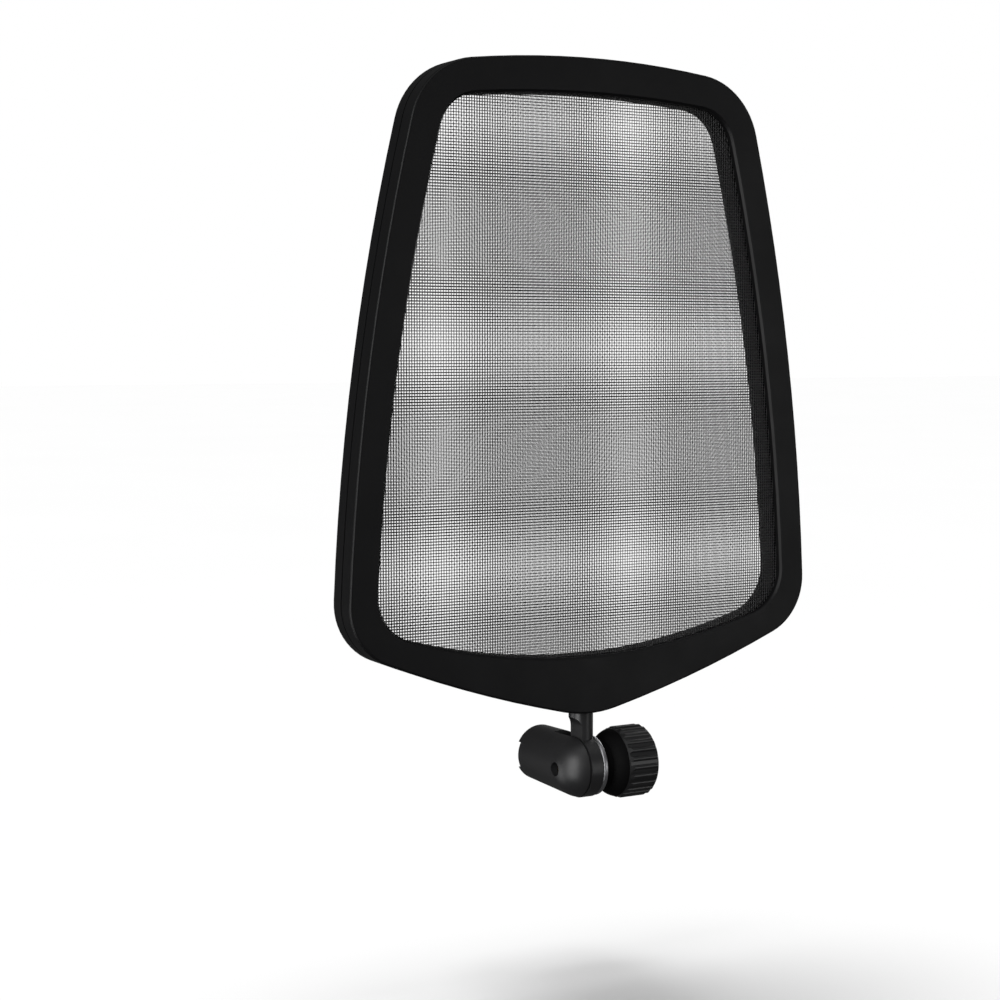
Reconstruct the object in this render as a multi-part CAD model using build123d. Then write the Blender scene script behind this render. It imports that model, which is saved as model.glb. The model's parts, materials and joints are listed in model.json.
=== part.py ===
"""Microphone pop filter: a shield-shaped two-shell frame with two woven wire screens, on a stem whose eye is
clamped to the nose of a short barrel by a hand knob.

Millimetres, real size. +X to the right as the front is faced, +Z up, and the filter faces -Y. The origin is
the mouth of the threaded hole in the barrel's rear end, where a ring or plate is screwed on. The pivot axis
runs along X.
"""

from build123d import *
import os
from math import cos, radians, sin

# ---- barrel and pivot ----------------------------------------------------------------------------
PIVOT_Y = -16.3
NOSE_R = 6.6
BARREL_REAR_R = 6.1
SADDLE_DEPTH = 1.0
SADDLE_HEIGHT = 5.6
LAP_X = -1.52
LAP_CLEARANCE = 2.0
RING_INSERT_R = 3.1
RING_HOLE_R = 2.1
RING_HOLE_DEPTH = 6.0
SIGHT_HOLE_R = 1.5
STUD_NUT_R = 2.7
STUD_NUT_END_X = -5.0

# ---- stem ----------------------------------------------------------------------------------------
EYE_R = 6.6
EYE_LEFT_X = -1.08
EYE_RIGHT_X = 1.95
EYE_BORE_R = 2.03
EYE_EDGE = 0.25
POST_R = 2.63
POST_LOW_Z = 6.75
FLAT_TOP_Z = 8.6
FLAT_FILLET_R = 2.5
TANG_HALF_WIDTH = 7.5
TANG_LOW_Z = 16.4
TANG_TOP_Z = 21.2
STEM_SCREW_X = 4.9
STEM_SCREW_Z = 18.8

# ---- head ----------------------------------------------------------------------------------------
HEAD_DEPTH = 8.4
WALL = 1.5
SEAM_GAP = 0.4
REAR_WINDOW_GROWTH = 0.4
WINDOW_CHAMFER = 0.45
FRONT_EDGE_R = 0.5
REAR_EDGE_R = 0.8
SCREEN_THICK = 0.3
RIM_WALL = 0.25
RIM_LIP = 0.8
RIM_SLOT = 1.6
RIM_REACH = 1.8
TONGUE_THICK = 0.7
TONGUE_REACH = 1.2
BOSS_R = 1.5
BOSS_INSET = 2.9
SCREW_R = 0.8
SCREW_HEAD_R = 1.4
SCREW_HEAD_HEIGHT = 0.9
SCREW_HEAD_SINK = 0.1
SCREW_HEAD_EDGE = 0.3
SCREW_TIP_GAP = 0.2
RECESS_ARM = 0.8
RECESS_HALF_WIDTH = 0.17
RECESS_DEPTH = 0.5
BLIND_END = 0.4

# ---- knob, stud and washers ----------------------------------------------------------------------
STUD_R = 1.95
THREAD_GAP = 0.05
CLAMP_WASHER_R = 6.45
CLAMP_WASHER_X = 2.0
CLAMP_WASHER_THICK = 1.15
CLIP_R = 2.9
CLIP_GROOVE_R = 1.6
CLIP_THICK = 0.5
KNOB_FACE_X = 3.25
KNOB_RECESS_R = 4.4
KNOB_RECESS_DEPTH = 0.8
KNOB_NECK_R = 5.2
KNOB_NECK_END_X = 5.25
HUB_MIDDLE = (6.25, 6.45)
HUB_R = 7.3
HUB_END_X = 7.8
KNOB_GROOVE = 0.15
KNOB_END_X = 15.3
KNOB_END_CHAMFER = 0.5
KNOB_R = 7.75
KNOB_ROOT_R = 7.35
RIB_COUNT = 24
RIB_R = 0.62
RIB_RUN_IN = 1.0
RIB_RUN_IN_R = 7.2
STUD_HEAD_R = 3.5
STUD_HEAD_THICK = 2.8
STUD_SOCKET_R = 1.15
STUD_SOCKET_DEPTH = 1.8
STUD_TIP_GAP = 0.3
CAP_R = 5.2
CAP_THICK = 1.0
CAP_EDGE = 0.3
CAP_HOLLOW = 0.7
FIT_GAP = 0.05

# ---- worked out from the sizes above -------------------------------------------------------------
HEAD_FRONT_Y = PIVOT_Y - HEAD_DEPTH / 2
HEAD_REAR_Y = PIVOT_Y + HEAD_DEPTH / 2
FRONT_INNER_Y = HEAD_FRONT_Y + WALL
REAR_INNER_Y = HEAD_REAR_Y - WALL
RIM_THICK = SCREEN_THICK + 2 * RIM_WALL
CLAMP_WASHER_END_X = CLAMP_WASHER_X + CLAMP_WASHER_THICK
STUD_HEAD_X = KNOB_END_X - CAP_THICK - STUD_HEAD_THICK - CAP_HOLLOW
BEYOND = 20.0
PIVOT_AXIS = Axis((0, PIVOT_Y, 0), (1, 0, 0))
HALF_SECTION = Plane(origin=(0, PIVOT_Y, 0), x_dir=(1, 0, 0), z_dir=(0, -1, 0))


# ---- building blocks -----------------------------------------------------------------------------
def slab(profile, front_y, rear_y):
    """A profile drawn in X and Z, as a solid between two Y planes."""
    rear = Plane(origin=(0, rear_y, 0), x_dir=(1, 0, 0), z_dir=(0, -1, 0))
    return extrude(rear * profile, amount=rear_y - front_y)


def rod(radius, start, end, end_radius=None):
    """A round bar between two points, or a cone where the end has its own radius."""
    axis = Vector(*end) - Vector(*start)
    place = Plane(origin=start, z_dir=axis)
    if end_radius is None:
        return place * Cylinder(radius, axis.length, align=(Align.CENTER, Align.CENTER, Align.MIN))
    return place * Cone(radius, end_radius, axis.length, align=(Align.CENTER, Align.CENTER, Align.MIN))


def pivot_rod(radius, start_x, end_x):
    """A round bar on the pivot axis."""
    return rod(radius, (start_x, PIVOT_Y, 0), (end_x, PIVOT_Y, 0))


def pivot_turned(*lines):
    """A body turned about the pivot axis, from its closed half profile's lines in (x, radius)."""
    return revolve(HALF_SECTION * make_face(lines), PIVOT_AXIS)


def pivot_hexagon(radius, start_x, end_x):
    """A hexagonal bar on the pivot axis, with its corners at the radius."""
    start = Plane(origin=(start_x, PIVOT_Y, 0), x_dir=(0, 1, 0), z_dir=(1, 0, 0))
    return extrude(start * RegularPolygon(radius, 6), amount=end_x - start_x)


def block(low, high):
    """A box from its lowest to its highest corner."""
    size = [b - a for a, b in zip(low, high)]
    return Pos(*low) * Box(*size, align=(Align.MIN, Align.MIN, Align.MIN))


# ---- outlines, in X and Z ------------------------------------------------------------------------
def arc_loop(half_arcs):
    """A closed outline from (start, middle, end) arcs down its right side, mirrored to the left."""
    edges = []
    for arc in half_arcs:
        if arc[0][0] != 0:
            edges.append(ThreePointArc(*arc))
            edges.append(ThreePointArc(*[(-x, z) for x, z in arc]))
        else:
            start, middle, end = arc
            edges.append(ThreePointArc((-end[0], end[1]), start, end))
    return make_face(edges)


def rounded(face, top_r, low_r):
    """An outline with its two top and its two low corners rounded."""
    corners = face.vertices().filter_by(lambda v: abs(v.X) > 1)
    face = fillet(corners.sort_by(Axis.Y)[-2:], top_r)
    sharp = face.vertices().filter_by(lambda v: abs(v.X) > 1).sort_by(Axis.Y)[:2]
    return fillet(sharp, low_r)


def shield():
    """The head's outline: bowed sides that widen downwards, an arched top and a softly pointed chin."""
    top, side, low = (39.4, 146.05), (52.0, 83.95), (56.5, 29.85)
    face = arc_loop([((0, 149.45), (20, 148.55), top), (top, side, low), (low, (28.2, 18.95), (0, 11.4))])
    face = rounded(face, 16, 13)
    chin = face.vertices().filter_by(lambda v: abs(v.X) < 0.01).sort_by(Axis.Y)[:1]
    return fillet(chin, 28)


def window():
    """The opening in the front shell: it follows the sides and top, and leaves a deeper rail at the chin."""
    top, side, low = (33.9, 139.95), (45.0, 86.95), (50.1, 33.15)
    face = arc_loop([((0, 142.05), (17, 141.52), top), (top, side, low), ((0, 24.35), (25, 26.52), low)])
    return rounded(face, 9, 10)


def grown(profile, amount):
    """A smooth outline of arcs moved outwards, or inwards where the amount is negative."""
    edges = []
    for edge in profile.edges():
        centre = edge.arc_center
        scale = 1 + amount / edge.radius
        edges.append(ThreePointArc(*[centre + (edge @ share - centre) * scale for share in (0, 0.5, 1)]))
    return make_face(edges)


OUTLINE = shield()
WINDOW = window()
REAR_WINDOW = grown(WINDOW, REAR_WINDOW_GROWTH)
CHIN_Z = OUTLINE.bounding_box().min.Y
INSIDE = grown(OUTLINE, -WALL)


def boss_spots():
    """Where the frame's screws stand: inside the four corners and half way down each side, as (x, z)."""
    middles = [edge @ 0.5 for edge in grown(OUTLINE, -BOSS_INSET).edges()]
    return [(p.X, p.Y) for p in middles if abs(p.X) > 30]


FRAME_SPOTS = boss_spots()
STEM_SPOTS = [(-STEM_SCREW_X, STEM_SCREW_Z), (STEM_SCREW_X, STEM_SCREW_Z)]
SPOTS = FRAME_SPOTS + STEM_SPOTS


def posts(spots, radius, front_y, rear_y):
    """Round bars along Y, one at each spot."""
    return [rod(radius, (x, rear_y, z), (x, front_y, z)) for x, z in spots]


def stem_hole():
    """The hole that lets the stem's post through the shells' bottom walls."""
    return rod(POST_R + FIT_GAP, (0, PIVOT_Y, CHIN_Z - 2), (0, PIVOT_Y, CHIN_Z + 5))


def face_edges(shell, face_y, profile):
    """The edges of one flat face that lie along a profile."""
    loop = profile.face().outer_wire()
    on_face = shell.edges().filter_by(lambda e: abs(e.center().Y - face_y) < 0.01)
    return [e for e in on_face if loop.distance_to(Vector((e @ 0.5).X, (e @ 0.5).Z, 0)) < 0.1]


# ---- head ----------------------------------------------------------------------------------------
def front_frame():
    """Front shell: face plate, side wall up to the seam, and the screw bosses."""
    shell = slab(OUTLINE - WINDOW, HEAD_FRONT_Y, FRONT_INNER_Y)
    shell += slab(OUTLINE - INSIDE, HEAD_FRONT_Y, PIVOT_Y - SEAM_GAP / 2)
    shell = chamfer(face_edges(shell, HEAD_FRONT_Y, WINDOW), WINDOW_CHAMFER)
    shell = fillet(face_edges(shell, HEAD_FRONT_Y, OUTLINE), FRONT_EDGE_R)
    shell += posts(SPOTS, BOSS_R, FRONT_INNER_Y, REAR_INNER_Y - FIT_GAP)
    shell -= posts(SPOTS, SCREW_R, FRONT_INNER_Y + BLIND_END, HEAD_REAR_Y)
    return shell - stem_hole()


def rear_frame():
    """Rear shell: back plate, side wall up to the seam, and the tongue that laps inside the front wall."""
    shell = slab(OUTLINE - REAR_WINDOW, REAR_INNER_Y, HEAD_REAR_Y)
    shell += slab(OUTLINE - INSIDE, PIVOT_Y + SEAM_GAP / 2, HEAD_REAR_Y)
    shell = chamfer(face_edges(shell, HEAD_REAR_Y, REAR_WINDOW), WINDOW_CHAMFER)
    shell = fillet(face_edges(shell, HEAD_REAR_Y, OUTLINE), REAR_EDGE_R)
    tongue_outside = grown(OUTLINE, -WALL - FIT_GAP)
    tongue_inside = grown(OUTLINE, -WALL - FIT_GAP - TONGUE_THICK)
    shell += slab(tongue_outside - tongue_inside, PIVOT_Y - TONGUE_REACH, REAR_INNER_Y)
    shell += slab(INSIDE - tongue_inside, PIVOT_Y + SEAM_GAP / 2, REAR_INNER_Y)
    shell -= posts(SPOTS, BOSS_R + 0.15, PIVOT_Y - 2 * TONGUE_REACH, REAR_INNER_Y)
    shell -= posts(SPOTS, SCREW_R + 0.1, PIVOT_Y, HEAD_REAR_Y + 1)
    shell -= posts(SPOTS, SCREW_HEAD_R + 0.1, HEAD_REAR_Y - SCREW_HEAD_HEIGHT, HEAD_REAR_Y + 1)
    return shell - stem_hole()


def spacer_frame():
    """The ring that keeps the two screens apart inside the shells."""
    ring = grown(WINDOW, RIM_REACH) - WINDOW
    return slab(ring, FRONT_INNER_Y + RIM_THICK, REAR_INNER_Y - RIM_THICK)


def screen(front_y):
    """A woven screen's envelope: its wires fill this sheet."""
    return slab(grown(WINDOW, RIM_SLOT), front_y, front_y + SCREEN_THICK)


def screen_rim(front_y):
    """The channel-section rim crimped round a screen's edge."""
    ring = slab(grown(WINDOW, RIM_REACH) - grown(WINDOW, RIM_LIP), front_y, front_y + RIM_THICK)
    return ring - screen(front_y + RIM_WALL)


def pan_screw(x, z):
    """A small pan-head screw driven from the rear, with a cross recess."""
    seat_y = HEAD_REAR_Y - SCREW_HEAD_HEIGHT
    crown_y = HEAD_REAR_Y - SCREW_HEAD_SINK
    screw = rod(SCREW_HEAD_R, (x, seat_y, z), (x, crown_y, z))
    screw = fillet(screw.edges().sort_by(Axis.Y)[-1], SCREW_HEAD_EDGE)
    screw += rod(SCREW_R, (x, FRONT_INNER_Y + BLIND_END + SCREW_TIP_GAP, z), (x, seat_y, z))
    for half_x, half_z in ((RECESS_ARM, RECESS_HALF_WIDTH), (RECESS_HALF_WIDTH, RECESS_ARM)):
        low = (x - half_x, crown_y - RECESS_DEPTH, z - half_z)
        screw -= block(low, (x + half_x, HEAD_REAR_Y, z + half_z))
    return screw.solid()


def frame_screws():
    """The screws that close the two shells."""
    return Compound([pan_screw(x, z) for x, z in FRAME_SPOTS])


def stem_screws():
    """The screws that go through the stem's tang."""
    return Compound([pan_screw(x, z) for x, z in STEM_SPOTS])


def stem():
    """Stem: an eye on the pivot axis, a round post milled flat above it, and a tang between the shells."""
    eye = pivot_rod(EYE_R, EYE_LEFT_X, EYE_RIGHT_X)
    eye = chamfer(eye.edges().filter_by(GeomType.CIRCLE).sort_by(Axis.X)[-1], EYE_EDGE)
    post = rod(POST_R, (0, PIVOT_Y, 0), (0, PIVOT_Y, TANG_TOP_Z))
    post -= block((EYE_RIGHT_X, PIVOT_Y - BEYOND, -BEYOND), (BEYOND, PIVOT_Y + BEYOND, POST_LOW_Z))
    arc_start = (EYE_LEFT_X - FLAT_FILLET_R, FLAT_TOP_Z + FLAT_FILLET_R)
    arc_end = (EYE_LEFT_X, FLAT_TOP_Z)
    milled = make_face(
        [
            Polyline(arc_end, (EYE_LEFT_X, -1), (-BEYOND, -1), (-BEYOND, arc_start[1]), arc_start),
            RadiusArc(arc_start, arc_end, FLAT_FILLET_R),
        ]
    )
    post -= slab(milled, PIVOT_Y - BEYOND, PIVOT_Y + BEYOND)
    tang_front, tang_rear = FRONT_INNER_Y + 0.1, REAR_INNER_Y - 0.1
    tang = block((-TANG_HALF_WIDTH, tang_front, TANG_LOW_Z), (TANG_HALF_WIDTH, tang_rear, TANG_TOP_Z))
    body = eye + post + tang
    body -= posts(STEM_SPOTS, BOSS_R + 0.1, HEAD_FRONT_Y, HEAD_REAR_Y)
    return body - pivot_rod(EYE_BORE_R, -BEYOND, BEYOND)


# ---- barrel --------------------------------------------------------------------------------------
def barrel():
    """Barrel with a domed nose that is cut away to a flat for the eye, and a saddle across its rear end."""
    body = rod(BARREL_REAR_R, (0, SADDLE_DEPTH, 0), (0, PIVOT_Y, 0), NOSE_R)
    body += Pos(0, PIVOT_Y, 0) * Sphere(NOSE_R)
    body -= block((LAP_X, PIVOT_Y - BEYOND, -BEYOND), (BEYOND, PIVOT_Y + EYE_R + LAP_CLEARANCE, BEYOND))
    body -= block((-BEYOND, 0, -SADDLE_HEIGHT / 2), (BEYOND, BEYOND, SADDLE_HEIGHT / 2))
    body -= rod(RING_INSERT_R, (0, 0, 0), (0, -RING_HOLE_DEPTH, 0))
    body -= pivot_rod(STUD_NUT_R, STUD_NUT_END_X, 0)
    return body - pivot_rod(SIGHT_HOLE_R, -BEYOND, 0)


def ring_insert():
    """Threaded insert in the barrel's rear end, for the screw that fastens the barrel."""
    body = rod(RING_INSERT_R, (0, 0, 0), (0, -RING_HOLE_DEPTH, 0))
    return body - rod(RING_HOLE_R, (0, BEYOND, 0), (0, -BEYOND, 0))


def stud_nut():
    """Threaded insert in the barrel's nose, for the knob's stud."""
    return pivot_rod(STUD_NUT_R, STUD_NUT_END_X, LAP_X) - pivot_rod(STUD_R + THREAD_GAP, -BEYOND, BEYOND)


def friction_washer():
    """Thin washer between the barrel's flat and the eye."""
    washer = pivot_rod(EYE_R - 0.4, LAP_X, EYE_LEFT_X - FIT_GAP)
    return washer - pivot_rod(STUD_R + THREAD_GAP, -BEYOND, BEYOND)


# ---- clamp ---------------------------------------------------------------------------------------
def clamp_washer():
    """Thick metal washer that presses on the eye, counterbored for the clip."""
    washer = pivot_rod(CLAMP_WASHER_R, CLAMP_WASHER_X, CLAMP_WASHER_END_X)
    washer = fillet(washer.edges().filter_by(GeomType.CIRCLE), 0.4)
    washer -= pivot_rod(STUD_R + THREAD_GAP, -BEYOND, BEYOND)
    return washer - pivot_rod(CLIP_R + 0.2, 0, CLAMP_WASHER_X + CLIP_THICK + 0.1)


def stud_clip():
    """Split clip in the stud's groove, which keeps the washer on the stud."""
    start = CLAMP_WASHER_X + 0.03
    clip = pivot_rod(CLIP_R, start, start + CLIP_THICK) - pivot_rod(CLIP_GROOVE_R + 0.02, -BEYOND, BEYOND)
    return clip - block((0, PIVOT_Y - 0.7, -BEYOND), (BEYOND, PIVOT_Y + 0.7, 0))


def disc_spring():
    """Conical spring washer between the clamp washer and the knob."""
    left = CLAMP_WASHER_END_X + FIT_GAP
    section = [(left, 4.2), (left + 0.3, 4.2), (left + 0.65, 2.15), (left + 0.35, 2.15)]
    return pivot_turned(Polyline(*section, close=True))


def knob():
    """Hand knob: a domed hub, a fine groove and a grip of rounded ribs."""
    grip_x = HUB_END_X + KNOB_GROOVE
    groove_r = RIB_RUN_IN_R - KNOB_GROOVE
    body = pivot_turned(
        Polyline((grip_x, 0), (KNOB_FACE_X, 0), (KNOB_FACE_X, KNOB_NECK_R), (KNOB_NECK_END_X, KNOB_NECK_R)),
        ThreePointArc((KNOB_NECK_END_X, KNOB_NECK_R), HUB_MIDDLE, (HUB_END_X, HUB_R)),
        Polyline((HUB_END_X, HUB_R), (HUB_END_X, groove_r), (grip_x, groove_r), (grip_x, 0)),
    )
    ribs = pivot_rod(KNOB_ROOT_R, grip_x, KNOB_END_X)
    for number in range(RIB_COUNT):
        angle = radians(360 / RIB_COUNT * number)
        y, z = PIVOT_Y + (KNOB_R - RIB_R) * cos(angle), (KNOB_R - RIB_R) * sin(angle)
        ribs = ribs + rod(RIB_R, (grip_x, y, z), (KNOB_END_X, y, z))
    run_in = [(grip_x, 0), (grip_x, RIB_RUN_IN_R), (grip_x + RIB_RUN_IN, KNOB_R)]
    run_out = [(KNOB_END_X - KNOB_END_CHAMFER, KNOB_R), (KNOB_END_X, KNOB_R - KNOB_END_CHAMFER)]
    body += pivot_turned(Polyline(*run_in, *run_out, (KNOB_END_X, 0), close=True)) & ribs
    body -= pivot_rod(KNOB_RECESS_R, 0, KNOB_FACE_X + KNOB_RECESS_DEPTH)
    body -= pivot_rod(STUD_R + 0.02, 0, STUD_HEAD_X)
    body -= pivot_hexagon(STUD_HEAD_R + 0.03, STUD_HEAD_X, KNOB_END_X)
    return body - pivot_rod(CAP_R, KNOB_END_X - CAP_THICK, BEYOND)


def knob_stud():
    """Threaded stud: a hexagonal head held in the knob, a groove for the clip and a socket in its tip."""
    tip_x = STUD_NUT_END_X + STUD_TIP_GAP
    body = chamfer(pivot_rod(STUD_R, tip_x, STUD_HEAD_X).edges().sort_by(Axis.X)[0], 0.4)
    body += pivot_hexagon(STUD_HEAD_R, STUD_HEAD_X + 0.02, STUD_HEAD_X + STUD_HEAD_THICK)
    body += pivot_rod(STUD_R, STUD_HEAD_X, STUD_HEAD_X + 0.1)
    groove_end_x = CLAMP_WASHER_X + CLIP_THICK + 0.06
    body -= pivot_rod(STUD_R + 1, CLAMP_WASHER_X, groove_end_x) - pivot_rod(CLIP_GROOVE_R, -BEYOND, BEYOND)
    return body - pivot_hexagon(STUD_SOCKET_R, tip_x, tip_x + STUD_SOCKET_DEPTH)


def knob_cap():
    """Shallow cap that closes the knob's outer end."""
    cap = pivot_rod(CAP_R - FIT_GAP, KNOB_END_X - CAP_THICK + 0.02, KNOB_END_X - 0.05)
    return chamfer(cap.edges().filter_by(GeomType.CIRCLE).sort_by(Axis.X)[-1], CAP_EDGE)


PARTS = {
    "front_frame": front_frame,
    "rear_frame": rear_frame,
    "spacer_frame": spacer_frame,
    "front_screen": lambda: screen(FRONT_INNER_Y + RIM_WALL),
    "rear_screen": lambda: screen(REAR_INNER_Y - RIM_WALL - SCREEN_THICK),
    "front_screen_rim": lambda: screen_rim(FRONT_INNER_Y),
    "rear_screen_rim": lambda: screen_rim(REAR_INNER_Y - RIM_THICK),
    "frame_screws": frame_screws,
    "stem_screws": stem_screws,
    "stem": stem,
    "barrel": barrel,
    "ring_insert": ring_insert,
    "stud_nut": stud_nut,
    "friction_washer": friction_washer,
    "clamp_washer": clamp_washer,
    "stud_clip": stud_clip,
    "disc_spring": disc_spring,
    "knob": knob,
    "knob_stud": knob_stud,
    "knob_cap": knob_cap,
}

if __name__ == "__main__":
    os.makedirs("parts", exist_ok=True)
    for name, make in PARTS.items():
        export_step(make(), f"parts/{name}.step")
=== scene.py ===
"""Pop filter: the woven screens, threads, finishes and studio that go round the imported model."""

import json
import math

import bpy
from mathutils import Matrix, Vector


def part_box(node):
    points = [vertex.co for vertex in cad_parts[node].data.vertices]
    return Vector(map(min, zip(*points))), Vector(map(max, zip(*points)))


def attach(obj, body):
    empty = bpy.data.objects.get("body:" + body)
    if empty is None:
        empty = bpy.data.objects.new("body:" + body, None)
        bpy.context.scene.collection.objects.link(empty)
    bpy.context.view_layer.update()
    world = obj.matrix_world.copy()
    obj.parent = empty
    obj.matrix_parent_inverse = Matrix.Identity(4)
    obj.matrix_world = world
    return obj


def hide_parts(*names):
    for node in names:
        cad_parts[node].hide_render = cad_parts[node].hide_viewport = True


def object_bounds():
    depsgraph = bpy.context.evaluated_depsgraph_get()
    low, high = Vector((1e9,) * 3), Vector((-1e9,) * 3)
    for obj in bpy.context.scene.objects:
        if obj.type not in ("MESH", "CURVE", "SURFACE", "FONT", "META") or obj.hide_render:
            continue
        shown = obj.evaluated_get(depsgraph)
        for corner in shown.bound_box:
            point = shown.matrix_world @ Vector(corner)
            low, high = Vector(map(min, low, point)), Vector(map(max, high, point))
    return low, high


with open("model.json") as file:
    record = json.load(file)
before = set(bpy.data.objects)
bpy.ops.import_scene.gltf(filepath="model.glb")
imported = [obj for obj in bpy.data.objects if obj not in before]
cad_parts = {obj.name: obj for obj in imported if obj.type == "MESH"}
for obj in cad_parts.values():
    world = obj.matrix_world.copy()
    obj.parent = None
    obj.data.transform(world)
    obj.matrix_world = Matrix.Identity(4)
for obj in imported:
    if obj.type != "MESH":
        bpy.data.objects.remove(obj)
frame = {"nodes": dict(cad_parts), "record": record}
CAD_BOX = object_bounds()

bl_info = {
    "name": "Pop Filter",
    "version": (1, 0, 0),
    "blender": (4, 5, 0),
    "location": "3D Viewport > Sidebar > Pop Filter",
    "description": "Weaves the screens, cuts the threads and finishes every part of a pop filter",
    "category": "Object",
}

MM = 0.001
TURN = 2 * math.pi

# How much of each grain is its pits, peel, rings or lines, and not its waves.
PIT_SHARE = 0.6
PEEL_SHARE = 0.75
RING_SHARE = 0.35
LINE_SHARE = 0.3
DIE_MARK_SHARE = 0.5

# Specular levels, and other values that one finish has all over.
FRAME_SPECULAR = 0.15
COAT_SPECULAR = 0.40
WIRE_SPECULAR = 0.5
KNOB_SPECULAR = 0.06
FLOOR_SPECULAR = 0.2
OXIDE_METALLIC = 0.6
OXIDE_COLOUR = (0.03, 0.03, 0.031)
NYLON_COLOUR = (0.006, 0.006, 0.0065)
RIM_ROUGHNESS = 0.45
STEM_POLISH = 0.04

# The knob's hub ends at this share of its length, and is duller than the rest of the knob; its base
# colour is also darkened there as painted shade, where the barrel shades it.
HUB_SHARE = 0.378
HUB_ROUGHNESS = 0.70
# Painted shade: the hub's base colour is this share of the knob's colour, and stands in for the barrel's
# shadow on it.
HUB_PAINTED_SHADE = 0.25
GRIP_COAT = 0.7
CAP_DULLING = 0.12


def pivot_centre():
    """The middle of the clamp washer, which the stem, knob and washers turn about."""
    low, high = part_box("clamp_washer")
    return (low + high) / 2


PIVOT = pivot_centre()
INSERT_LOW, INSERT_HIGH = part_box("ring_insert")


# ---- node trees ------------------------------------------------------------------------------------
class Socket:
    """An output socket whose sums and products add Math nodes to its tree."""

    def __init__(self, graph, source):
        self.graph = graph
        self.source = source

    def math(self, operation, *values):
        made = self.graph.add("ShaderNodeMath", {"operation": operation}, dict(enumerate(values)))
        return made.out(0)

    def __add__(self, other):
        return self.math("ADD", self, other)

    def __radd__(self, other):
        return self.math("ADD", other, self)

    def __sub__(self, other):
        return self.math("SUBTRACT", self, other)

    def __rsub__(self, other):
        return self.math("SUBTRACT", other, self)

    def __mul__(self, other):
        return self.math("MULTIPLY", self, other)

    def __rmul__(self, other):
        return self.math("MULTIPLY", other, self)

    def __truediv__(self, other):
        return self.math("DIVIDE", self, other)

    def __rtruediv__(self, other):
        return self.math("DIVIDE", other, self)

    def cosine(self):
        return self.math("COSINE", self)

    def root(self):
        return self.math("SQRT", self)

    def above(self, edge):
        return self.math("GREATER_THAN", self, edge)

    def clamped(self):
        made = self.graph.add("ShaderNodeClamp", {}, {"Value": self})
        return made.out(0)


class Node:
    """A node that was added to a graph."""

    def __init__(self, graph, node):
        self.graph = graph
        self.node = node

    def out(self, name):
        return Socket(self.graph, self.node.outputs[name])


class Graph:
    """A node tree, shader or geometry, that nodes are added to."""

    def __init__(self, tree):
        self.tree = tree

    def add(self, kind, settings, sockets):
        """A node of one type: its settings first, then the values or links of its sockets."""
        node = self.tree.nodes.new(kind)
        for name, value in settings.items():
            if name == "stops":
                self.set_stops(node.color_ramp, value)
            else:
                setattr(node, name, value)
        for name, value in sockets.items():
            self.feed(node.inputs[name], value)
        return Node(self, node)

    @staticmethod
    def set_stops(ramp, stops):
        while len(ramp.elements) < len(stops):
            ramp.elements.new(1.0)
        for element, (place, grey) in zip(ramp.elements, stops):
            element.position = place
            element.color = (grey, grey, grey, 1)

    def feed(self, socket, value):
        if isinstance(value, Socket):
            self.tree.links.new(value.source, socket)
        else:
            socket.default_value = value

    def mix(self, factor, first, second):
        """A colour between two others."""
        made = self.add(
            "ShaderNodeMix",
            {"data_type": "RGBA"},
            {0: factor, 6: first, 7: second},
        )
        return made.out(2)

    def vector(self, operation, *values):
        made = self.add("ShaderNodeVectorMath", {"operation": operation}, dict(enumerate(values)))
        return made.out(0)

    def place(self, centre=(0, 0, 0), stretch=(1, 1, 1)):
        """Object coordinates, counted from a centre and then stretched."""
        start = self.add("ShaderNodeTexCoord", {}, {}).out("Object")
        moved = self.vector("SUBTRACT", start, tuple(centre))
        return self.vector("MULTIPLY", moved, stretch)

    def noise(self, place, size, detail=3.0):
        """A soft random pattern from 0 to 1, with features of about one size in metres."""
        made = self.add(
            "ShaderNodeTexNoise",
            {"noise_dimensions": "3D"},
            {"Vector": place, "Scale": 1 / size, "Detail": detail},
        )
        return made.out(0)

    def cells(self, place, size):
        """The distance to the nearest of many scattered points, in cells of about one size in metres."""
        made = self.add(
            "ShaderNodeTexVoronoi",
            {"feature": "F1"},
            {"Vector": place, "Scale": 1 / size, "Randomness": 1.0},
        )
        return made.out("Distance")

    def stepped(self, value, stops):
        """A value passed through a ramp of (place, grey) stops."""
        return self.add("ShaderNodeValToRGB", {"stops": stops}, {"Fac": value}).out(0)

    def split(self, vector):
        made = self.add("ShaderNodeSeparateXYZ", {}, {0: vector})
        return [made.out(axis) for axis in ("X", "Y", "Z")]


def rgba(colour, gain=1.0):
    return tuple(channel * gain for channel in colour) + (1.0,)


# ---- surface patterns: each gives a height from 0 to 1 ---------------------------------------------
def moulded_grain(graph, size):
    """The fine spark-eroded grain of a moulding: soft pits over a slight waviness."""
    place = graph.place()
    pits = graph.cells(place, size)
    waves = graph.noise(place, size * 3, detail=4.0)
    return pits * PIT_SHARE + waves * (1 - PIT_SHARE)


def coat_grain(graph, size):
    """A sprayed coat's orange peel."""
    place = graph.place()
    peel = graph.noise(place, size, detail=2.0)
    dust = graph.noise(place, size / 4, detail=2.0)
    return peel * PEEL_SHARE + dust * (1 - PEEL_SHARE)


def facing_rings(graph, pitch):
    """The rings that a lathe leaves on a face across the pivot axis."""
    x, y, z = graph.split(graph.place(PIVOT))
    radius = (y * y + z * z).root()
    wander = graph.noise(graph.place(PIVOT), pitch * 6, detail=2.0)
    rings = (radius * (TURN / pitch) + wander * 2.0).cosine()
    return rings * RING_SHARE + wander * (1 - RING_SHARE)


def turned_lines(graph, pitch):
    """The fine lines that a lathe leaves along a bar on the Y axis."""
    x, y, z = graph.split(graph.place())
    wander = graph.noise(graph.place(stretch=(0.2, 1, 0.2)), pitch * 3)
    lines = (y * (TURN / pitch) + wander * 3.0).cosine()
    return lines * LINE_SHARE + wander * (1 - LINE_SHARE)


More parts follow.
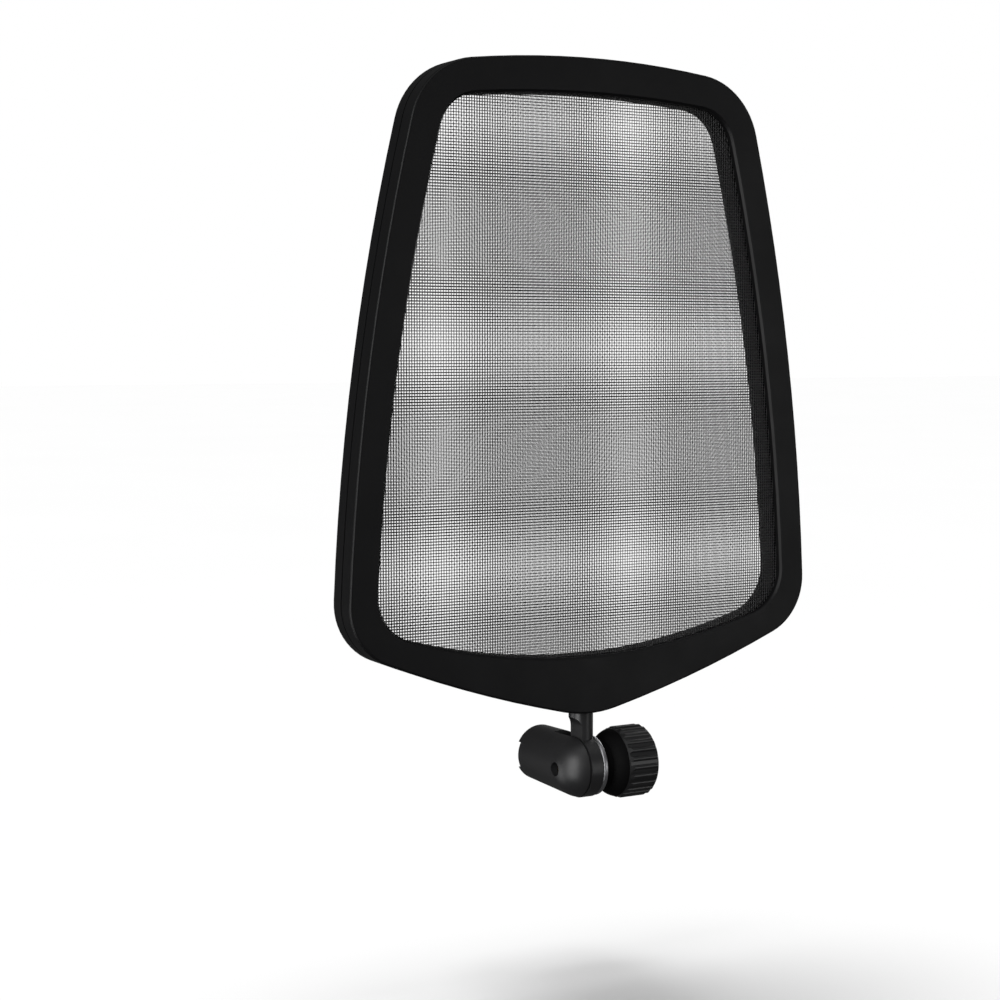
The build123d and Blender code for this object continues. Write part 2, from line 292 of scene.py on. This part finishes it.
def drawn_wire(graph, size):
    """Short die marks and a thin uneven coat on wire."""
    place = graph.place()
    marks = graph.noise(place, size)
    coat = graph.noise(place, size * 5, detail=2.0)
    return marks * DIE_MARK_SHARE + coat * (1 - DIE_MARK_SHARE)


# ---- finishes --------------------------------------------------------------------------------------
class Finish:
    """A material on one Principled shader, with colour, roughness and height from patterns."""

    def __init__(self, name):
        self.material = bpy.data.materials.new(name)
        self.material.use_nodes = True
        self.graph = Graph(self.material.node_tree)
        self.shader = self.material.node_tree.nodes["Principled BSDF"]

    def set(self, name, value):
        self.graph.feed(self.shader.inputs[name], value)
        return self

    def tone(self, colour, spread, patch):
        """The base colour, a little darker and lighter in soft patches."""
        clouds = self.graph.noise(self.graph.place(), patch, detail=4.0)
        low, high = rgba(colour, 1 - spread), rgba(colour, 1 + spread)
        return self.set("Base Color", self.graph.mix(clouds, low, high))

    def gloss(self, roughness, spread, patch):
        """The roughness, uneven in patches as handling and moulding leave it."""
        clouds = self.graph.noise(self.graph.place((0.01, 0.02, 0.03)), patch, detail=5.0)
        rubbed = ((clouds - 0.5) * (2 * spread) + roughness).clamped()
        return self.set("Roughness", rubbed)

    def relief(self, height, depth):
        """A height pattern as small bumps, with its depth in metres."""
        sockets = {"Height": height, "Distance": depth, "Strength": 1.0}
        bump = self.graph.add("ShaderNodeBump", {}, sockets)
        return self.set("Normal", bump.out("Normal"))


def frame_finish(name, colour, looks, gain=1.0):
    """Matt moulded plastic, for the frames and the spacer."""
    finish = Finish(name)
    finish.tone(tuple(c * gain for c in colour), spread=0.22, patch=6 * MM)
    finish.gloss(looks.plastic_roughness, spread=0.06, patch=9 * MM)
    finish.relief(moulded_grain(finish.graph, looks.grain_size), looks.grain_depth)
    finish.set("Specular IOR Level", FRAME_SPECULAR)
    return finish.material


def coat_finish(name, colour, roughness):
    """A thin sprayed coat on metal."""
    finish = Finish(name)
    finish.tone(colour, spread=0.18, patch=5 * MM)
    finish.gloss(roughness, spread=0.05, patch=4 * MM)
    finish.relief(coat_grain(finish.graph, 0.35 * MM), depth=0.006 * MM)
    finish.set("Specular IOR Level", COAT_SPECULAR)
    return finish.material


def turned_finish(name, colour, roughness, pitch, along=False):
    """Bare turned metal, ringed on its faces or lined along its length."""
    finish = Finish(name)
    finish.tone(colour, spread=0.12, patch=2 * MM)
    finish.gloss(roughness, spread=0.07, patch=1.2 * MM)
    pattern = turned_lines if along else facing_rings
    finish.relief(pattern(finish.graph, pitch), depth=0.004 * MM)
    finish.set("Metallic", 1.0)
    return finish.material


def wire_finish(name, colour, looks):
    """Coated wire, rubbed lighter in places."""
    finish = Finish(name)
    worn = finish.graph.noise(finish.graph.place(), 1.7 * MM)
    rubbed = finish.graph.stepped(worn, [(0.55, 0.0), (0.75, 1.0)])
    finish.set("Base Color", finish.graph.mix(rubbed, rgba(colour), rgba(colour, 1.9)))
    finish.gloss(looks.wire_roughness, spread=0.08, patch=2.5 * MM)
    finish.relief(drawn_wire(finish.graph, 0.12 * MM), depth=0.004 * MM)
    finish.set("Specular IOR Level", WIRE_SPECULAR)
    return finish.material


def oxide_finish(name, colour):
    """Black oxide on small screws: uneven, with a faint brown where it is thin."""
    finish = Finish(name)
    thin = finish.graph.noise(finish.graph.place(), 0.8 * MM, detail=4.0)
    brown = (colour[0] * 2.6, colour[1] * 2.1, colour[2] * 1.6)
    patches = finish.graph.stepped(thin, [(0.45, 0.0), (0.8, 1.0)])
    finish.set("Base Color", finish.graph.mix(patches, rgba(colour), rgba(brown)))
    finish.gloss(0.38, spread=0.08, patch=0.7 * MM)
    finish.relief(coat_grain(finish.graph, 0.12 * MM), depth=0.004 * MM)
    finish.set("Metallic", OXIDE_METALLIC)
    return finish.material


def nylon_finish(name, colour):
    """Plain moulded nylon, for the thin washer."""
    finish = Finish(name)
    finish.tone(colour, spread=0.2, patch=1.5 * MM)
    finish.gloss(0.55, spread=0.06, patch=1 * MM)
    finish.relief(coat_grain(finish.graph, 0.2 * MM), depth=0.005 * MM)
    return finish.material


def knob_finish(name, colour, looks, grip_start_and_painted_shade_end):
    """Moulded plastic that is dull up to one X, with painted shade darkening its base colour there, and
    glossier in its own colour past it.
    """
    finish = Finish(name)
    graph = finish.graph
    clouds = graph.noise(graph.place(), 3 * MM, detail=4.0)
    grip_past_painted_shade = graph.split(graph.place())[0].above(grip_start_and_painted_shade_end)
    moulded = graph.mix(clouds, rgba(colour, 0.8), rgba(colour, 1.2))
    # Painted shade: up to that X the base colour is darkened, and stands in for the barrel's shadow on
    # the hub.
    finish.set("Base Color", graph.mix(grip_past_painted_shade, rgba(colour, HUB_PAINTED_SHADE), moulded))
    finish.gloss(HUB_ROUGHNESS, spread=0.07, patch=2 * MM)
    finish.set("Coat Weight", grip_past_painted_shade * GRIP_COAT)
    finish.set("Coat Roughness", looks.knob_roughness)
    finish.set("Specular IOR Level", KNOB_SPECULAR)
    finish.relief(moulded_grain(graph, 0.14 * MM), depth=0.005 * MM)
    return finish.material


def cap_finish(name, colour, roughness):
    """Moulded plastic with rings on its face."""
    finish = Finish(name)
    finish.tone(colour, spread=0.15, patch=2 * MM)
    finish.gloss(roughness, spread=0.05, patch=1.5 * MM)
    finish.relief(facing_rings(finish.graph, 0.5 * MM), depth=0.006 * MM)
    return finish.material


def dress(material, *nodes):
    """Gives CAD nodes a finish, in the slots that they have."""
    for name in nodes:
        mesh = frame["nodes"][name].data
        if not mesh.materials:
            mesh.materials.append(material)
        for number in range(len(mesh.materials)):
            mesh.materials[number] = material


# ---- sizes and looks that can be changed -----------------------------------------------------------
def length(name, description, default, **more):
    return bpy.props.FloatProperty(
        name=name,
        description=description,
        default=default,
        min=0.0,
        precision=5,
        unit="LENGTH",
        **more,
    )


def share(name, description, default):
    return bpy.props.FloatProperty(
        name=name,
        description=description,
        default=default,
        min=0.0,
        max=1.0,
        subtype="FACTOR",
    )


def colour(name, description, default):
    return bpy.props.FloatVectorProperty(
        name=name,
        description=description,
        default=default,
        size=3,
        min=0.0,
        max=1.0,
        subtype="COLOR",
    )


class PopFilterSizes(bpy.types.PropertyGroup):
    """Sizes of the woven wire and the threads."""

    wire_pitch: length("Wire Pitch", "Distance between the wires of a screen", 0.6 * MM)
    wire_radius: length("Wire Radius", "Half the thickness of one wire", 0.075 * MM)
    thread_pitch: length("Thread Pitch", "Pitch of the thread in the rear insert", 0.8 * MM)
    thread_depth: length("Thread Depth", "Depth of the thread in the rear insert", 0.3 * MM)
    floor_drop: length("Floor Drop", "How far the floor lies under the pivot", 45 * MM)


class PopFilterLooks(bpy.types.PropertyGroup):
    """Colours and finishes of the parts."""

    frame_colour: colour("Frame", "Moulded frames", (0.0032, 0.0032, 0.0035))
    knob_colour: colour("Knob", "Moulded knob", (0.0060, 0.0060, 0.0064))
    coat_colour: colour("Coat", "Coated barrel and stem", (0.0120, 0.0120, 0.0127))
    wire_colour: colour("Wire", "Coated screen wire", (0.0120, 0.0120, 0.0125))
    brass_colour: colour("Brass", "Threaded inserts", (0.56, 0.41, 0.19))
    steel_colour: colour("Steel", "Clip and spring", (0.34, 0.34, 0.35))
    nickel_colour: colour("Dark Nickel", "Clamp washer", (0.30, 0.30, 0.31))
    zinc_colour: colour("Black Zinc", "Stud", (0.09, 0.09, 0.095))
    plastic_roughness: share("Plastic Roughness", "How matt the frames are", 0.46)
    coat_roughness: share("Coat Roughness", "How matt the barrel and stem are", 0.47)
    knob_roughness: share("Knob Roughness", "How matt the knob is", 0.36)
    wire_roughness: share("Wire Roughness", "How matt the wires are", 0.40)
    grain_size: length("Grain Size", "Width of one pit in the moulded grain", 0.22 * MM)
    grain_depth: length("Grain Depth", "Depth of the moulded grain", 0.010 * MM)


# ---- pieces made by node trees ---------------------------------------------------------------------
def new_tree(name, inputs):
    """A geometry tree with named inputs, and the graph and input node that go with it."""
    tree = bpy.data.node_groups.new(name, "GeometryNodeTree")
    tree.interface.new_socket("Geometry", in_out="INPUT", socket_type="NodeSocketGeometry")
    tree.interface.new_socket("Geometry", in_out="OUTPUT", socket_type="NodeSocketGeometry")
    for title, kind in inputs:
        tree.interface.new_socket(title, in_out="INPUT", socket_type=kind)
    graph = Graph(tree)
    return tree, graph, graph.add("NodeGroupInput", {}, {})


def close_tree(graph, mesh, material):
    """Ends a tree: smooth faces, no instances, one material."""
    smooth = graph.add("GeometryNodeSetShadeSmooth", {}, {"Geometry": mesh}).out(0)
    real = graph.add("GeometryNodeRealizeInstances", {}, {"Geometry": smooth}).out(0)
    done = graph.add("GeometryNodeSetMaterial", {}, {"Geometry": real, "Material": material})
    graph.add("NodeGroupOutput", {}, {0: done.out(0)})


def weave_tree():
    """Wires side by side that cross others up and down, clipped to the sheet they are made from."""
    tree, graph, given = new_tree(
        "Weave",
        [
            ("Corner", "NodeSocketVector"),
            ("Along", "NodeSocketVector"),
            ("Across", "NodeSocketVector"),
            ("Crossings", "NodeSocketInt"),
            ("Wires", "NodeSocketInt"),
            ("Pitch", "NodeSocketFloat"),
            ("Wave", "NodeSocketFloat"),
            ("Wire Radius", "NodeSocketFloat"),
            ("Material", "NodeSocketMaterial"),
        ],
    )
    line = graph.add(
        "GeometryNodeMeshLine",
        {"mode": "OFFSET"},
        {"Count": given.out("Crossings"), "Offset": given.out("Along")},
    )
    starts = graph.add(
        "GeometryNodeMeshLine",
        {"mode": "OFFSET"},
        {
            "Count": given.out("Wires"),
            "Start Location": given.out("Corner"),
            "Offset": given.out("Across"),
        },
    )
    laid = graph.add(
        "GeometryNodeInstanceOnPoints",
        {},
        {"Points": starts.out(0), "Instance": line.out(0)},
    )
    wires = graph.add("GeometryNodeRealizeInstances", {}, {"Geometry": laid.out(0)}).out(0)
    here = graph.add("GeometryNodeInputPosition", {}, {}).out(0)
    before = graph.vector("SUBTRACT", here, (0.0, 10 * MM, 0.0))
    hit = graph.add(
        "GeometryNodeRaycast",
        {},
        {
            "Target Geometry": given.out("Geometry"),
            "Source Position": before,
            "Ray Direction": (0.0, 1.0, 0.0),
            "Ray Length": 20 * MM,
        },
    )
    kept = graph.add(
        "GeometryNodeSeparateGeometry",
        {"domain": "POINT"},
        {"Geometry": wires, "Selection": hit.out("Is Hit")},
    )
    x, y, z = graph.split(here)
    height = ((x + z) / given.out("Pitch") * math.pi).cosine() * given.out("Wave")
    shift = graph.add("ShaderNodeCombineXYZ", {}, {"Y": height}).out(0)
    waved = graph.add(
        "GeometryNodeSetPosition",
        {},
        {"Geometry": kept.out(0), "Offset": shift},
    )
    paths = graph.add("GeometryNodeMeshToCurve", {}, {"Mesh": waved.out(0)})
    ring = graph.add(
        "GeometryNodeCurvePrimitiveCircle",
        {"mode": "RADIUS"},
        {"Resolution": 4, "Radius": given.out("Wire Radius")},
    )
    solid = graph.add(
        "GeometryNodeCurveToMesh",
        {},
        {"Curve": paths.out(0), "Profile Curve": ring.out(0), "Fill Caps": True},
    )
    close_tree(graph, solid.out(0), given.out("Material"))
    return tree


def thread_tree():
    """A ridge that winds round the Y axis, from the mouth of a hole inwards."""
    tree, graph, given = new_tree(
        "Thread",
        [
            ("Centre", "NodeSocketVector"),
            ("Radius", "NodeSocketFloat"),
            ("Turns", "NodeSocketFloat"),
            ("Length", "NodeSocketFloat"),
            ("Depth", "NodeSocketFloat"),
            ("Material", "NodeSocketMaterial"),
        ],
    )
    helix = graph.add(
        "GeometryNodeCurveSpiral",
        {},
        {
            "Resolution": 40,
            "Rotations": given.out("Turns"),
            "Start Radius": given.out("Radius"),
            "End Radius": given.out("Radius"),
            "Height": given.out("Length"),
        },
    )
    ridge = graph.add(
        "GeometryNodeCurvePrimitiveCircle",
        {"mode": "RADIUS"},
        {"Resolution": 6, "Radius": given.out("Depth")},
    )
    solid = graph.add(
        "GeometryNodeCurveToMesh",
        {},
        {"Curve": helix.out(0), "Profile Curve": ridge.out(0), "Fill Caps": True},
    )
    placed = graph.add(
        "GeometryNodeTransform",
        {},
        {
            "Geometry": solid.out(0),
            "Translation": given.out("Centre"),
            "Rotation": (math.pi / 2, 0.0, 0.0),
        },
    )
    close_tree(graph, placed.out(0), given.out("Material"))
    return tree


def grown_piece(name, tree, start_mesh, values):
    """A plain mesh object: the tree run over a start mesh, with its inputs set by name."""
    piece = bpy.data.objects.new(name, start_mesh)
    bpy.context.scene.collection.objects.link(piece)
    modifier = piece.modifiers.new("Nodes", "NODES")
    modifier.node_group = tree
    for item in tree.interface.items_tree:
        if item.in_out == "INPUT" and item.name in values:
            modifier[item.identifier] = values[item.name]
    graph = bpy.context.evaluated_depsgraph_get()
    mesh = bpy.data.meshes.new_from_object(piece.evaluated_get(graph))
    mesh.name = name
    piece.modifiers.remove(modifier)
    piece.data = mesh
    if not mesh.polygons:
        raise RuntimeError(f"{name} came out empty")
    return piece


def lattice_span(low, high, pitch):
    """The first lattice number inside a range, and how many there are."""
    first = math.ceil(low / pitch)
    return first, math.floor(high / pitch) - first + 1


class POPFILTER_OT_screens(bpy.types.Operator):
    """Weaves both screens from wires that pass over and under each other"""

    bl_idname = "popfilter.screens"
    bl_label = "Weave Screens"
    bl_options = {"REGISTER", "UNDO"}

    def execute(self, context):
        sizes, looks = context.scene.popfilter_sizes, context.scene.popfilter_looks
        material = wire_finish("Coated Wire", tuple(looks.wire_colour), looks)
        tree = weave_tree()
        for node in ("front_screen", "rear_screen"):
            self.weave(node, tree, sizes, material)
        return {"FINISHED"}

    def weave(self, node, tree, sizes, material):
        pitch = sizes.wire_pitch
        low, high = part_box(node)
        middle_y = (low.y + high.y) / 2
        first_x, count_x = lattice_span(low.x, high.x, pitch)
        first_z, count_z = lattice_span(low.z, high.z, pitch)
        common = {"Pitch": pitch, "Wire Radius": sizes.wire_radius, "Material": material}
        for half, title in enumerate(("left", "right")):
            skipped, wires = self.halved(half, count_x)
            corner = ((first_x + skipped) * pitch, middle_y, first_z * pitch)
            values = {
                "Corner": corner,
                "Along": (0.0, 0.0, pitch),
                "Across": (pitch, 0.0, 0.0),
                "Crossings": count_z,
                "Wires": wires,
                "Wave": sizes.wire_radius,
                **common,
            }
            self.lay(f"{node}_warp_{title}", node, tree, values)
        for half, title in enumerate(("low", "high")):
            skipped, wires = self.halved(half, count_z)
            corner = (first_x * pitch, middle_y, (first_z + skipped) * pitch)
            values = {
                "Corner": corner,
                "Along": (pitch, 0.0, 0.0),
                "Across": (0.0, 0.0, pitch),
                "Crossings": count_x,
                "Wires": wires,
                "Wave": -sizes.wire_radius,
                **common,
            }
            self.lay(f"{node}_weft_{title}", node, tree, values)

    @staticmethod
    def halved(half, count):
        """How many wires are skipped before one half, and how many it has."""
        skipped = count // 2 if half else 0
        return skipped, (count - skipped if half else count // 2)

    @staticmethod
    def lay(name, node, tree, values):
        piece = grown_piece(name, tree, frame["nodes"][node].data.copy(), values)
        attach(piece, "head")
        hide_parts(node)


class POPFILTER_OT_insert_thread(bpy.types.Operator):
    """Winds the thread inside the rear insert"""

    bl_idname = "popfilter.insert_thread"
    bl_label = "Cut Insert Thread"
    bl_options = {"REGISTER", "UNDO"}

    def execute(self, context):
        sizes, looks = context.scene.popfilter_sizes, context.scene.popfilter_looks
        brass = turned_finish("Thread Brass", tuple(looks.brass_colour), 0.3, 0.15 * MM, along=True)
        hole_radius = frame["record"]["mounts"][0]["dims"]["r_mm"] * MM
        run = INSERT_HIGH.y - INSERT_LOW.y - 2 * sizes.thread_depth
        piece = grown_piece(
            "ring_insert_thread",
            thread_tree(),
            bpy.data.meshes.new("thread_start"),
            {
                "Centre": (0.0, INSERT_HIGH.y - sizes.thread_depth, 0.0),
                "Radius": hole_radius,
                "Turns": run / sizes.thread_pitch,
                "Length": run,
                "Depth": sizes.thread_depth,
                "Material": brass,
            },
        )
        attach(piece, "arm")
        return {"FINISHED"}


class POPFILTER_OT_frames(bpy.types.Operator):
    """Gives the two frames, the spacer and the screens' rims their finishes"""

    bl_idname = "popfilter.frames"
    bl_label = "Finish Frames"
    bl_options = {"REGISTER", "UNDO"}

    def execute(self, context):
        looks = context.scene.popfilter_looks
        tint = tuple(looks.frame_colour)
        dress(frame_finish("Front Frame Plastic", tint, looks), "front_frame")
        dress(frame_finish("Rear Frame Plastic", tint, looks, 1.1), "rear_frame")
        dress(frame_finish("Spacer Plastic", tint, looks, 0.9), "spacer_frame")
        rim = coat_finish("Crimped Rim", tuple(looks.wire_colour), RIM_ROUGHNESS)
        dress(rim, "front_screen_rim", "rear_screen_rim")
        return {"FINISHED"}


class POPFILTER_OT_screws(bpy.types.Operator):
    """Gives the screws their black oxide"""

    bl_idname = "popfilter.screws"
    bl_label = "Finish Screws"
    bl_options = {"REGISTER", "UNDO"}

    def execute(self, context):
        dress(oxide_finish("Black Oxide", OXIDE_COLOUR), "frame_screws", "stem_screws")
        return {"FINISHED"}


class POPFILTER_OT_arm(bpy.types.Operator):
    """Gives the barrel, the stem and the inserts their finishes"""

    bl_idname = "popfilter.arm"
    bl_label = "Finish Barrel and Stem"
    bl_options = {"REGISTER", "UNDO"}

    def execute(self, context):
        looks = context.scene.popfilter_looks
        coat, rough = tuple(looks.coat_colour), looks.coat_roughness
        dress(coat_finish("Barrel Coat", coat, rough), "barrel")
        dress(coat_finish("Stem Coat", coat, rough - STEM_POLISH), "stem")
        brass = tuple(looks.brass_colour)
        dress(turned_finish("Insert Brass", brass, 0.28, 0.12 * MM), "ring_insert", "stud_nut")
        return {"FINISHED"}


class POPFILTER_OT_clamp(bpy.types.Operator):
    """Gives the washers, the clip and the spring their finishes"""

    bl_idname = "popfilter.clamp"
    bl_label = "Finish Clamp"
    bl_options = {"REGISTER", "UNDO"}

    def execute(self, context):
        looks = context.scene.popfilter_looks
        nickel, steel = tuple(looks.nickel_colour), tuple(looks.steel_colour)
        dress(turned_finish("Turned Washer", nickel, 0.42, 0.09 * MM), "clamp_washer")
        dress(turned_finish("Spring Steel", steel, 0.34, 0.2 * MM), "stud_clip", "disc_spring")
        dress(nylon_finish("Washer Nylon", NYLON_COLOUR), "friction_washer")
        return {"FINISHED"}


class POPFILTER_OT_knob(bpy.types.Operator):
    """Gives the knob, its cap and its stud their finishes"""

    bl_idname = "popfilter.knob"
    bl_label = "Finish Knob"
    bl_options = {"REGISTER", "UNDO"}

    def execute(self, context):
        looks = context.scene.popfilter_looks
        tint = tuple(looks.knob_colour)
        low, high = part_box("knob")
        # Up to this X the knob's base colour carries painted shade from the barrel.
        grip_start_and_painted_shade_end = low.x + HUB_SHARE * (high.x - low.x)
        dress(knob_finish("Knob Plastic With Painted Hub Shade", tint, looks, grip_start_and_painted_shade_end), "knob")
        dress(cap_finish("Cap Plastic", tint, looks.knob_roughness + CAP_DULLING), "knob_cap")
        zinc = tuple(looks.zinc_colour)
        dress(turned_finish("Stud Zinc", zinc, 0.33, 0.1 * MM), "knob_stud")
        return {"FINISHED"}


# ---- stage -----------------------------------------------------------------------------------------
CAMERA_AIM = (-19.8 * MM, 0.1 * MM, 58.1 * MM)
CAMERA_DISTANCE = 406.2 * MM
CAMERA_AZIMUTH = math.radians(-29.3)
CAMERA_ELEVATION = math.radians(4.54)
CAMERA_LENS = 70.45
FLOOR_HALF = 6.0
FLOOR_COLOUR = (0.84, 0.84, 0.84)
FLOOR_ROUGHNESS = 0.8
SKY_DIRECTION = (0.10, 0.25, 1.00)
SKY_STRENGTH = 3.64
SKY_SPREAD = math.radians(50)
SURROUND_DIM = 0.10
# Each soft box: its name, direction, distance, width and height in metres, and watts.
SOFT_BOXES = [
    ("Key", (-0.87, -0.48, 0.00), 0.80, (0.50, 1.20), 14.0),
    ("Left", (-0.88, 0.40, -0.38), 0.90, (0.40, 0.60), 3.2),
    ("Rim", (0.90, 0.40, 0.25), 0.90, (0.60, 0.60), 7.0),
    ("Top", (0.10, -0.30, 1.00), 1.00, (0.80, 0.80), 2.5),
    ("Fill", (0.57, -0.81, -0.10), 1.20, (0.30, 0.60), 2.7),
]


class POPFILTER_OT_stage(bpy.types.Operator):
    """Lays the floor and sets the lights and the camera"""

    bl_idname = "popfilter.stage"
    bl_label = "Set Stage"
    bl_options = {"REGISTER", "UNDO"}

    def execute(self, context):
        self.lay_floor(context.scene.popfilter_sizes.floor_drop)
        self.set_world(context.scene)
        self.share_light(self.hang_sky(), "Sky receivers", "INCLUDE")
        for box in SOFT_BOXES:
            self.share_light(self.hang(*box), f"{box[0]} receivers", "EXCLUDE")
        self.set_camera(context.scene)
        context.scene.view_settings.view_transform = "Standard"
        return {"FINISHED"}

    @staticmethod
    def lay_floor(drop):
        signs = ((-1, -1), (1, -1), (1, 1), (-1, 1))
        mesh = bpy.data.meshes.new("floor")
        corners = [(x * FLOOR_HALF, y * FLOOR_HALF, -drop) for x, y in signs]
        mesh.from_pydata(corners, [], [(0, 1, 2, 3)])
        floor = bpy.data.objects.new("floor", mesh)
        bpy.context.scene.collection.objects.link(floor)
        finish = Finish("Floor Paper")
        finish.tone(FLOOR_COLOUR, spread=0.01, patch=0.2)
        finish.gloss(FLOOR_ROUGHNESS, spread=0.03, patch=0.1)
        finish.set("Specular IOR Level", FLOOR_SPECULAR)
        mesh.materials.append(finish.material)
        floor.visible_diffuse = False
        floor.visible_glossy = False

    @staticmethod
    def set_world(scene):
        """A white surround behind the object, which lights it only dimly."""
        world = bpy.data.worlds.new("Studio")
        world.use_nodes = True
        scene.world = world
        graph = Graph(world.node_tree)
        world.node_tree.nodes.clear()
        seen = graph.add("ShaderNodeLightPath", {}, {}).out("Is Camera Ray")
        dim = graph.add("ShaderNodeBackground", {}, {"Color": rgba((1, 1, 1)), "Strength": SURROUND_DIM})
        bright = graph.add("ShaderNodeBackground", {}, {"Color": rgba((1, 1, 1)), "Strength": 1.0})
        both = graph.add("ShaderNodeMixShader", {}, {0: seen, 1: dim.out(0), 2: bright.out(0)})
        graph.add("ShaderNodeOutputWorld", {}, {"Surface": both.out(0)})

    @staticmethod
    def hang_sky():
        """Even, very soft light from above, which whitens the floor out to its edge."""
        sky = bpy.data.lights.new("Sky", "SUN")
        sky.energy = SKY_STRENGTH
        sky.angle = SKY_SPREAD
        holder = bpy.data.objects.new("Sky", sky)
        bpy.context.scene.collection.objects.link(holder)
        holder.rotation_euler = Vector(SKY_DIRECTION).to_track_quat("Z", "Y").to_euler()
        return holder

    @staticmethod
    def hang(name, direction, distance, size, power):
        """A soft box at a distance from the object, facing it."""
        light = bpy.data.lights.new(name, "AREA")
        light.shape = "RECTANGLE"
        light.size, light.size_y = size
        light.energy = power
        box = bpy.data.objects.new(name, light)
        bpy.context.scene.collection.objects.link(box)
        aim = (CAD_BOX[0] + CAD_BOX[1]) / 2
        away = Vector(direction).normalized()
        box.location = aim + away * distance
        box.rotation_euler = away.to_track_quat("Z", "Y").to_euler()
        box.visible_camera = False
        return box

    @staticmethod
    def share_light(holder, name, state):
        """Includes the floor in what a light reaches, or leaves it out."""
        receivers = bpy.data.collections.new(name)
        receivers.objects.link(bpy.data.objects["floor"])
        receivers.collection_objects[0].light_linking.link_state = state
        holder.light_linking.receiver_collection = receivers

    @staticmethod
    def set_camera(scene):
        camera = bpy.data.objects.new("Camera", bpy.data.cameras.new("Camera"))
        scene.collection.objects.link(camera)
        across = math.cos(CAMERA_ELEVATION)
        back = Vector(
            (
                math.sin(CAMERA_AZIMUTH) * across,
                -math.cos(CAMERA_AZIMUTH) * across,
                math.sin(CAMERA_ELEVATION),
            )
        )
        aim = Vector(CAMERA_AIM) + Vector((0.0, PIVOT.y, PIVOT.z))
        camera.location = aim + back * CAMERA_DISTANCE
        camera.rotation_euler = back.to_track_quat("Z", "Y").to_euler()
        camera.data.lens = CAMERA_LENS
        camera.data.clip_start = 0.01
        camera.data.clip_end = 50.0
        scene.camera = camera


# ---- panel and registration ------------------------------------------------------------------------
STEPS = (
    POPFILTER_OT_screens,
    POPFILTER_OT_insert_thread,
    POPFILTER_OT_frames,
    POPFILTER_OT_screws,
    POPFILTER_OT_arm,
    POPFILTER_OT_clamp,
    POPFILTER_OT_knob,
    POPFILTER_OT_stage,
)


class POPFILTER_PT_panel(bpy.types.Panel):
    """Sizes, looks and steps of the pop filter"""

    bl_idname = "POPFILTER_PT_panel"
    bl_label = "Pop Filter"
    bl_space_type = "VIEW_3D"
    bl_region_type = "UI"
    bl_category = "Pop Filter"

    def draw(self, context):
        for group in (context.scene.popfilter_sizes, context.scene.popfilter_looks):
            column = self.layout.column()
            for name in group.__annotations__:
                column.prop(group, name)
        for step in STEPS:
            self.layout.operator(step.bl_idname)


CLASSES = (PopFilterSizes, PopFilterLooks, *STEPS, POPFILTER_PT_panel)


def register():
    for item in CLASSES:
        bpy.utils.register_class(item)
    bpy.types.Scene.popfilter_sizes = bpy.props.PointerProperty(type=PopFilterSizes)
    bpy.types.Scene.popfilter_looks = bpy.props.PointerProperty(type=PopFilterLooks)


def unregister():
    del bpy.types.Scene.popfilter_looks
    del bpy.types.Scene.popfilter_sizes
    for item in reversed(CLASSES):
        bpy.utils.unregister_class(item)


def main():
    """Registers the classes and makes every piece."""
    register()
    bpy.ops.popfilter.screens()
    bpy.ops.popfilter.insert_thread()
    bpy.ops.popfilter.frames()
    bpy.ops.popfilter.screws()
    bpy.ops.popfilter.arm()
    bpy.ops.popfilter.clamp()
    bpy.ops.popfilter.knob()
    bpy.ops.popfilter.stage()
    bpy.context.view_layer.update()


if __name__ == "__main__":
    main()
